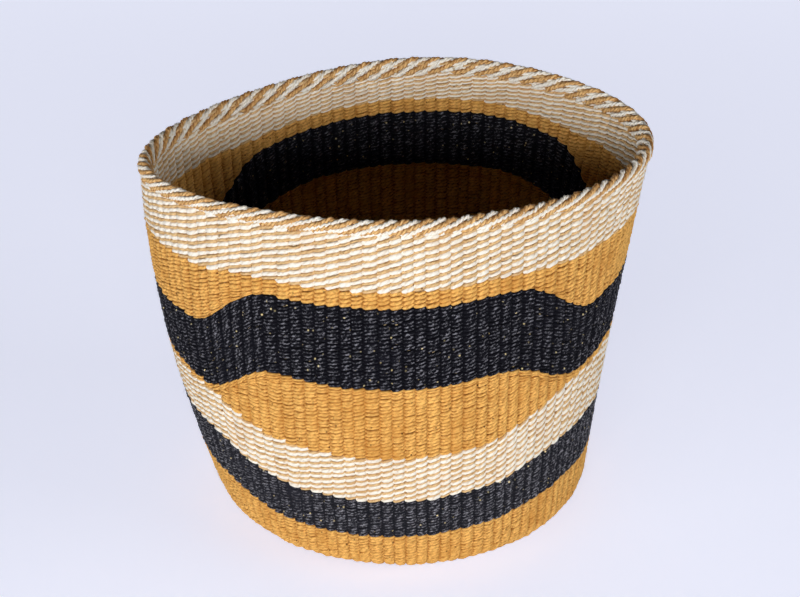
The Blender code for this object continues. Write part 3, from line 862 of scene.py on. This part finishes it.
# %% Twine the wall
LOOSE_PITCH = 1.95 * MM     # height of a row where nothing packs it tighter
STRIPES = [white_sisal, pale_tan_sisal]
STRIPE_STITCH = {           # each white stitch leads into the next with hardly a notch
    "plumps": ((1.22, 1.00), (0.88, 0.98)),     # white and tan, each outside and inside
    "rise_share": 0.46, "pinches": (0.88, 1.0), "swing_power": 0.30}
UPPER_STRIPED_ROWS = 16
BANDS = (       # CAD nodes, name, materials, levels at its foot and top, row height, the rest
    (("heel_weft", "lower_tan_weft"), "heel_strands", [tan_sisal], GROUND, HEEL,
     LOOSE_PITCH, {"parts": 2}),
    (("lower_black_weft",), "lower_black_strands", [paler_black_sisal], HEEL, LOWER_BLACK,
     1.85 * MM, {}),
    (("lower_striped_weft",), "lower_striped", STRIPES, LOWER_BLACK, LOWER_STRIPED,
     1.7 * MM, {"full_rows": 16, **STRIPE_STITCH}),
    (("front_lens_weft",), "front_lens_strands", [tan_sisal], LOWER_STRIPED, LENS,
     LOOSE_PITCH, {"facing": FRONT}),
    (("back_lens_weft",), "back_lens_strands", [tan_sisal], LOWER_STRIPED, LENS,
     LOOSE_PITCH, {"facing": BACK}),
    (("middle_tan_weft",), "middle_tan_strands", [tan_sisal], LENS, MIDDLE_TAN,
     1.6 * MM, {"full_rows": 2}),
    (("main_black_weft",), "main_black_strands", [black_sisal], MIDDLE_TAN, MAIN_BLACK,
     LOOSE_PITCH, {"parts": 2}),
    (("left_wedge_weft",), "left_wedge_strands", [tan_sisal], MAIN_BLACK, WEDGE,
     LOOSE_PITCH, {"longest": "high", "facing": LEFT}),
    (("right_wedge_weft",), "right_wedge_strands", [tan_sisal], MAIN_BLACK, WEDGE,
     LOOSE_PITCH, {"longest": "high", "facing": RIGHT}),
    (("front_upper_tan_weft", "back_upper_tan_weft", "left_upper_tan_weft",
      "right_upper_tan_weft"), "upper_tan_strands", [tan_sisal], WEDGE, UPPER_TAN,
     2.0 * MM, {"full_rows": 4}),
    (("upper_striped_weft",), "upper_striped", STRIPES, UPPER_TAN, UPPER_STRIPED,
     1.75 * MM, {"full_rows": UPPER_STRIPED_ROWS, **STRIPE_STITCH}),
)
made = {}
for nodes, name, materials, foot, top, pitch, rest in BANDS:
    made[nodes] = twine_band(name, materials, foot, top, pitch, **rest)

# %% [markdown]
# ## Warps and base
#
# Nine cords cross in the middle of the base, five one way and four the other, and give the
# first eighteen warps. The innermost rows take them mostly in pairs. More are laid in as the
# base grows: 54 from a radius of 16 mm and all 108 from 44 mm. Here each warp is one tube from
# where it starts to the rim. It is hardly seen, but the ribs of the wall are its mark, and
# light would come through without it. The rows of the base could be one spiral, as they are on
# the real one. They are rings, so that the same function twines them and the wall.

# %% Warps
CROSS_RADIUS = 9.0 * MM     # where the crossed cords have fanned out evenly
CROSS_GAP = 2.2 * MM        # from one crossed cord to the next
CROSS_FAN = math.radians(20)
CROSS_RINGS = 17
CROSS_GROUPS = (            # direction, number of cords and height above the ground
    (0.0, 5, 1.8 * MM), (math.pi / 2, 4, 3.5 * MM))
CROSS_CORD = (1.15 * MM, 0.85 * MM)     # half the width and half the thickness of a cord
WARP_RADIUS = 0.75 * MM
WARP_RINGS = 36
WARP_STARTS = (             # radius at which every sixth warp starts, the other even ones,
    CROSS_RADIUS, 15.0 * MM, 43.0 * MM)     # and the odd ones
WARP_END = 3 * MM           # how far below the top of the rim a warp ends


def standing_warps(bundle):
    """Each warp follows the middle of the wall at its own angle, from its start to the rim."""
    sixth, even, odd = WARP_STARTS
    for index in range(WARPS):
        start = sixth if index % 6 == 0 else even if index % 2 == 0 else odd
        angle = np.full(WARP_RINGS, warp_angle(index))
        top = band_levels(angle[:1])[RIM] - WARP_END
        along = np.linspace(start - GROUND_RADIUS, top[0], len(angle))
        centre, out = wall_point(angle, along, np.full(len(angle), WALL / 2))
        bundle.add(tube_rings(centre, out, WARP_RADIUS, WARP_RADIUS, False), False)


def crossed_cords(bundle):
    """Cord i of a group runs along the group's axis at i gaps to its side, and parts from its
    neighbours with the square of the distance. The two groups lie one on the other."""
    for turn, count, height in CROSS_GROUPS:
        for index in np.arange(count) - (count - 1) / 2:
            fan = index * CROSS_FAN
            share = np.linspace(-1.0, 1.0, CROSS_RINGS)
            along = share * CROSS_RADIUS * math.cos(fan)
            side = index * CROSS_GAP
            side = side + (CROSS_RADIUS * math.sin(fan) - side) * share ** 2
            x = along * math.cos(turn) - side * math.sin(turn) + BASE_SHIFT
            y = along * math.sin(turn) + side * math.cos(turn)
            z = height + (WALL / 2 - height) * share ** 4
            down = np.tile([0.0, 0.0, -1.0], (len(share), 1))
            rings = tube_rings(np.stack([x, y, z], axis=-1), down, *CROSS_CORD, False)
            bundle.add(rings, False)


warp_bundle = Bundle()
standing_warps(warp_bundle)
crossed_cords(warp_bundle)
made["warp_skeleton",] = [warp_bundle.finish("warp_cords", raw_sisal)]


# %% Rows of the base
BASE_ZONES = (              # warps in a ring, from one radius to another
    (10, 4.2 * MM, 8.2 * MM),
    (18, 8.2 * MM, 16.0 * MM),
    (54, 16.0 * MM, 44.0 * MM),
    (108, 44.0 * MM, 88.0 * MM),
)
BASE_PITCH = 2.0 * MM
START_RADIUS = 30.0 * MM    # where the undyed start ends
BASE_SPLIT = 62.0 * MM      # the tan rows are two pieces, which meet here


def base_rows(low, high):
    """Rings from one radius to another, each with the warps of its zone."""
    rows = []
    for warps, inner, outer in BASE_ZONES:
        count = round((outer - inner) / BASE_PITCH)
        edges = np.linspace(inner, outer, count + 1)
        rows += [(warps, middle, edges[1] - edges[0]) for middle in (edges[1:] + edges[:-1]) / 2
                 if low < middle < high]
    return rows


def twine_base(name, material, low, high):
    """Each row of the base is a full ring at one radius, twined like a row of the wall."""
    bundle = Bundle()
    for number, (warps, radius, pitch) in enumerate(base_rows(low, high)):
        steps = ring_steps(0, warps, True)
        level = np.full(len(steps), radius - GROUND_RADIUS)
        for strand in range(2):
            twine(bundle, steps, level, pitch, number + strand, warps=warps)
    return bundle.finish(name, material)


made["base_start_weft",] = [twine_base("base_start_strands", raw_sisal, 0.0, START_RADIUS)]
made["base_weft",] = [
    twine_base("base_inner_strands", tan_sisal, START_RADIUS, BASE_SPLIT),
    twine_base("base_outer_strands", tan_sisal, BASE_SPLIT, GROUND_RADIUS)]

# %% [markdown]
# ## The rim
#
# The last two rows run up under the rim, and a plait of six cords closes the edge, white and
# tan by turns, one for each warp. A cord comes out of the wall, climbs three warps to the
# right, goes over the edge in a low arch, and comes down in a slanting bar over two more warps
# inside. A twisted rope laid on the edge would be simpler, but its lay would look the same
# from all sides, and a plait's bars slant out over the wall. So one turn of a cord is given by
# twelve points, and a smooth curve carries it round. Each cord has two plies that twist round
# each other, which is coarse enough to model.

# %% Path of a plaiting cord
PLAIT_WARPS = 6             # warps that a cord passes in one turn over the edge
PLAIT_KEYS = (              # warps passed, height above the rim's core and distance outwards
    (-2.60, -5.4 * MM, 0.7 * MM),
    (-2.00, -4.7 * MM, 1.9 * MM),
    (-1.30, -3.5 * MM, 2.3 * MM),
    (-0.65, -2.3 * MM, 2.3 * MM),
    (-0.10, -1.4 * MM, 2.0 * MM),
    (0.32, -0.45 * MM, 1.3 * MM),
    (0.75, 0.35 * MM, 0.2 * MM),
    (1.18, -0.55 * MM, -1.0 * MM),
    (1.60, -2.0 * MM, -2.0 * MM),
    (2.15, -3.7 * MM, -2.8 * MM),
    (2.70, -5.6 * MM, -3.0 * MM),
    (3.15, -7.1 * MM, -2.2 * MM),
)
PLAIT_CORE = 1.35 * MM      # the core lies this far below the top of the rim
PLAIT_SAMPLES = 4           # rings of points from one key to the next
WHITE_PLY_RADIUS = 0.78 * MM
TAN_PLY_RADIUS = 0.95 * MM
PLY_GAP = 0.52 * MM
PLY_LAY = 5.5 * MM          # length in which the plies turn once round each other
CORD_HEIGHT_SPREAD = 0.08   # how much the turns of a cord differ in height, as a share,
CORD_SHIFT_SPREAD = 0.18 * MM   # how far whole turns are shifted,
PLY_SPREAD = 0.10           # and how much the plies differ in thickness


def plait_path(shift):
    """Closed cubic through the keys of every turn, shifted by a number of warps."""
    turns = np.arange(WARPS // PLAIT_WARPS)[:, None, None]
    knots = (np.array(PLAIT_KEYS) + turns * [PLAIT_WARPS, 0, 0]).reshape(-1, 3)
    before, after = np.roll(knots, 1, axis=0), np.roll(knots, -1, axis=0)
    before[0, 0] -= WARPS
    after[-1, 0] += WARPS
    slope = (after - before) / 2
    t = (np.arange(PLAIT_SAMPLES) / PLAIT_SAMPLES)[:, None, None]
    nearer, farther = 1 - 3 * t ** 2 + 2 * t ** 3, 3 * t ** 2 - 2 * t ** 3
    leave, arrive = t - 2 * t ** 2 + t ** 3, t ** 3 - t ** 2
    path = (nearer * knots + farther * after + leave * slope
            + arrive * np.roll(slope, -1, axis=0))
    path = path.transpose(1, 0, 2).reshape(-1, 3)
    path[:, 0] += shift
    return path


def plait_cord(bundle, shift, ply_radius):
    """Adds the two plies of one cord, which turn round its path like a double helix."""
    steps, height, distance = plait_path(shift).T
    angle = warp_angle(steps)
    height = (height * (1 + stitch_noise(steps, CORD_HEIGHT_SPREAD))
              + stitch_noise(steps, CORD_SHIFT_SPREAD))
    level = band_levels(angle)[RIM] - PLAIT_CORE + height
    centre, out = wall_point(angle, level, WALL / 2 - distance)
    along = np.roll(centre, -1, axis=0) - np.roll(centre, 1, axis=0)
    along /= np.linalg.norm(along, axis=-1, keepdims=True)
    across = np.cross(along, out)
    across /= np.linalg.norm(across, axis=-1, keepdims=True)
    square = np.cross(across, along)
    gaps = np.linalg.norm(np.roll(centre, -1, axis=0) - centre, axis=-1)
    turns = round(gaps.sum() / PLY_LAY)
    twist = 2 * math.pi * turns * (np.cumsum(gaps) - gaps) / gaps.sum()
    for ply in range(2):
        around = twist + math.pi * ply
        aside = np.cos(around)[:, None] * across + np.sin(around)[:, None] * square
        radius = ply_radius * (1 + stitch_noise(steps, PLY_SPREAD))
        bundle.add(tube_rings(centre + PLY_GAP * aside, square, radius, radius, True), True)


# %% Last rows and the plait
made["rim_binding",] = twine_band(
    "rim_rows", STRIPES, UPPER_STRIPED, RIM_SLEEVE, 1.65 * MM, full_rows=2,
    first_row=UPPER_STRIPED_ROWS, **STRIPE_STITCH)
for name, material, first, radius in (("rim_white_cords", white_sisal, 0, WHITE_PLY_RADIUS),
                                      ("rim_tan_cords", rope_tan_sisal, 1, TAN_PLY_RADIUS)):
    cords = Bundle()
    for shift in range(first, PLAIT_WARPS, 2):
        plait_cord(cords, shift, radius)
    made["rim_binding",].append(cords.finish(name, material))

# %% [markdown]
# ## Loose fibres
#
# The ends of single sisal fibres work loose from every strand. They are finer than a pixel,
# and a few hundred of them soften the outline of the basket. Hair particles could do it, but
# they are no mesh and would be lost in the export. Each is a thin tube with three sides that
# leaves the wall, runs along it and bends.

# %% Fibres that stand out from a band
FIBRE_RADIUS = 0.06 * MM
FIBRE_TAPER = 0.6           # share of the radius lost at the tip
FIBRE_RINGS = 6
FIBRE_LENGTHS = (3 * MM, 8 * MM)
FIBRE_BEND = 1.5 * MM       # spread of the bends
FIBRE_LIFTS = (0.3 * MM, 2.2 * MM)
FIBRE_ROOT = 0.3 * MM       # depth in the strand at which a fibre starts
FIBRES_INSIDE = 0.4         # share of the fibres that are inside the basket


def loose_fibres(name, material, bands, count, lowest=0.0):
    """Each fibre starts at a random place between two band levels, not below the share lowest
    of the band. With s from 0 to 1 along it, it runs s length in a random direction over the
    wall, bends aside by bend s^2, and stands off the wall by lift s."""
    angle = random.uniform(0, 2 * math.pi, count)
    levels = band_levels(angle)
    low, high = levels[bands[0]], levels[bands[1]]
    start = low + (high - low) * random.uniform(lowest, 1, count)
    length = random.uniform(*FIBRE_LENGTHS, count)
    heading = random.uniform(0, 2 * math.pi, count)
    bend = random.normal(0, FIBRE_BEND, count)
    lift = random.uniform(*FIBRE_LIFTS, count)
    inside = random.uniform(0, 1, count) < FIBRES_INSIDE
    share = np.linspace(0, 1, FIBRE_RINGS)
    radius = FIBRE_RADIUS * (1 - FIBRE_TAPER * share)
    cluster = Bundle()
    for index in range(count):
        aside = bend[index] * share ** 2
        across = length[index] * share * np.cos(heading[index]) - aside
        up = length[index] * share * np.sin(heading[index]) + aside
        depth = FIBRE_ROOT - (lift[index] + FIBRE_ROOT) * share
        if inside[index]:
            depth = WALL - depth
        centre, out = wall_point(angle[index] + across / (RIM_DEPTH / 2), start[index] + up,
                                 depth)
        cluster.add(tube_rings(centre, out, radius, radius, False, sides=3), False)
    return cluster.finish(name, material)


# %% Fibres on five of the bands
FIBRES = (      # CAD nodes, name, material, levels at foot and top, number, lowest share
    (("lower_black_weft",), "lower_black_fibres", paler_black_sisal, (HEEL, LOWER_BLACK), 90),
    (("main_black_weft",), "main_black_fibres", black_sisal, (MIDDLE_TAN, MAIN_BLACK), 160),
    (("heel_weft", "lower_tan_weft"), "heel_fibres", tan_sisal, (GROUND, HEEL), 90, 0.45),
    (("lower_striped_weft",), "lower_striped_fibres", white_sisal,
     (LOWER_BLACK, LOWER_STRIPED), 90),
    (("upper_striped_weft",), "upper_striped_fibres", white_sisal,
     (UPPER_TAN, UPPER_STRIPED), 120),
)
for nodes, name, *kind in FIBRES:
    made[nodes].append(loose_fibres(name, *kind))

# %% [markdown]
# ## Floor and light
#
# A pale floor and soft studio light. Four wide, low soft boxes stand to the left, the right
# and in front, one of them close to the floor, and a fifth stands behind. The world glows
# round the horizon. So light comes from the sides and hardly from above: the wall is bright,
# and the inside falls into the dark below its rim. An even white world would be simpler, but
# it would light the inside as brightly as the outside.

# %% Floor
FLOOR_REACH = 6.0           # from the middle to each side, in metres
FLOOR_DROP = 0.3 * MM       # it lies this far below the CAD model's flat, under the strands
FLOOR_COLOUR = (0.70, 0.71, 0.76, 1)
FLOOR_GLOW = (0.52, 0.54, 0.66, 1)


def seen_rays(finish):
    """1 for what the camera sees, also by way of a gloss or a glass, and 0 for other light."""
    rays = finish.node("ShaderNodeLightPath")
    return rays + rays.other("Is Glossy Ray") + rays.other("Is Transmission Ray")


def add_floor():
    """The floor's own colour keeps the shadow. What the camera sees of it also has a pale
    glow, which lights nothing."""
    mesh = bpy.data.meshes.new("floor")
    corners = [(-1, -1, 0), (1, -1, 0), (1, 1, 0), (-1, 1, 0)]
    mesh.from_pydata(np.array(corners) * FLOOR_REACH, [], [(0, 1, 2, 3)])
    finish = Finish(bpy.data.materials.new("floor"))
    glow = finish.mix(seen_rays(finish), (0, 0, 0, 1), FLOOR_GLOW)
    finish.fill(finish.tree.nodes["Principled BSDF"], {
        "Base Color": FLOOR_COLOUR, "Roughness": 0.9, "Specular IOR Level": 0.1,
        "Emission Color": glow, "Emission Strength": 1.0})
    mesh.materials.append(finish.owner)
    floor = add_object("floor", mesh)
    floor.location.z = -FLOOR_DROP
    floor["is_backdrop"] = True


add_floor()
print("floor colour", FLOOR_COLOUR[:3])

# %% Lamps
LAMP_DISTANCE = 1.9
LAMP_AIM = (0, 0, 0.1)      # the middle of the basket
LAMPS = (                   # azimuth and elevation in degrees, width and height, watts
    ("left_lamp", 225, 8, (1.2, 0.32), 12.2),
    ("front_lamp", 265, 15, (1.2, 0.32), 15.2),
    ("right_lamp", 345, 14, (1.2, 0.32), 11.2),
    ("front_low_lamp", 268, 4, (1.4, 0.22), 6.8),
    ("back_lamp", 90, 4, (1.6, 0.20), 16.0),
)


def turned(degrees, axis):
    """A turn about one axis, as a matrix."""
    return Matrix.Rotation(math.radians(degrees), 4, axis)


def add_lamp(name, azimuth, elevation, size, watts):
    """A flat lamp that faces the middle of the basket. azimuth is the direction that it
    stands in, counted as the basket's own angles are."""
    lamp = bpy.data.lights.new(name, "AREA")
    lamp.shape = "RECTANGLE"
    lamp.size, lamp.size_y = size
    lamp.energy = watts
    direction = turned(azimuth, "Z") @ turned(-elevation, "Y")
    away = Matrix.Translation((LAMP_DISTANCE, 0, 0))
    add_object(name, lamp).matrix_world = (
        Matrix.Translation(LAMP_AIM) @ direction @ away @ turned(90, "Y") @ turned(90, "Z"))


for lamp in LAMPS:
    add_lamp(*lamp)
print("lamps, W:", [lamp[-1] for lamp in LAMPS])

# %% World
HORIZON_GLOW = 0.45
GLOW_SPAN = (0.17, 0.05)    # sine of the elevation where the glow ends and where it is full
SKY_LIGHT = (1.0, 0.99, 0.97, 1)
SEEN_SKY = (0.71, 0.73, 0.81, 1)


def add_world():
    """Glows at the horizon and falls to nothing some way above it. The camera sees an even
    pale colour instead."""
    finish = Finish(bpy.data.worlds.new("studio"))
    direction = finish.node("ShaderNodeTexCoord")
    rise = finish.node("ShaderNodeSeparateXYZ", None, {0: direction}, 2)
    strength = finish.spread(rise, *GLOW_SPAN) * HORIZON_GLOW
    light = finish.node("ShaderNodeBackground", None, {0: SKY_LIGHT, 1: strength})
    pale = finish.node("ShaderNodeBackground", None, {0: SEEN_SKY, 1: 1.0})
    both = finish.node("ShaderNodeMixShader", None, {0: seen_rays(finish), 1: light, 2: pale})
    finish.fill(finish.tree.nodes["World Output"], {"Surface": both})
    bpy.context.scene.world = finish.owner


add_world()
bpy.context.scene.view_settings.view_transform = "Standard"
print("horizon glow", HORIZON_GLOW)

# %% [markdown]
# ## Put the strands in the frame
#
# Every piece rides on the one body, because nothing on a basket moves, and stands for the CAD
# bands that it was twined from, which are hidden.

for nodes, pieces in made.items():
    for piece in pieces:
        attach(piece, "root")
        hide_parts(*nodes)
low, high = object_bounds()
sizes = {"cad": [list(cad_low), list(cad_high)], "visual": [list(low), list(high)]}
print("dressed basket, mm:", [round((b - a) / MM, 1) for a, b in zip(low, high)])
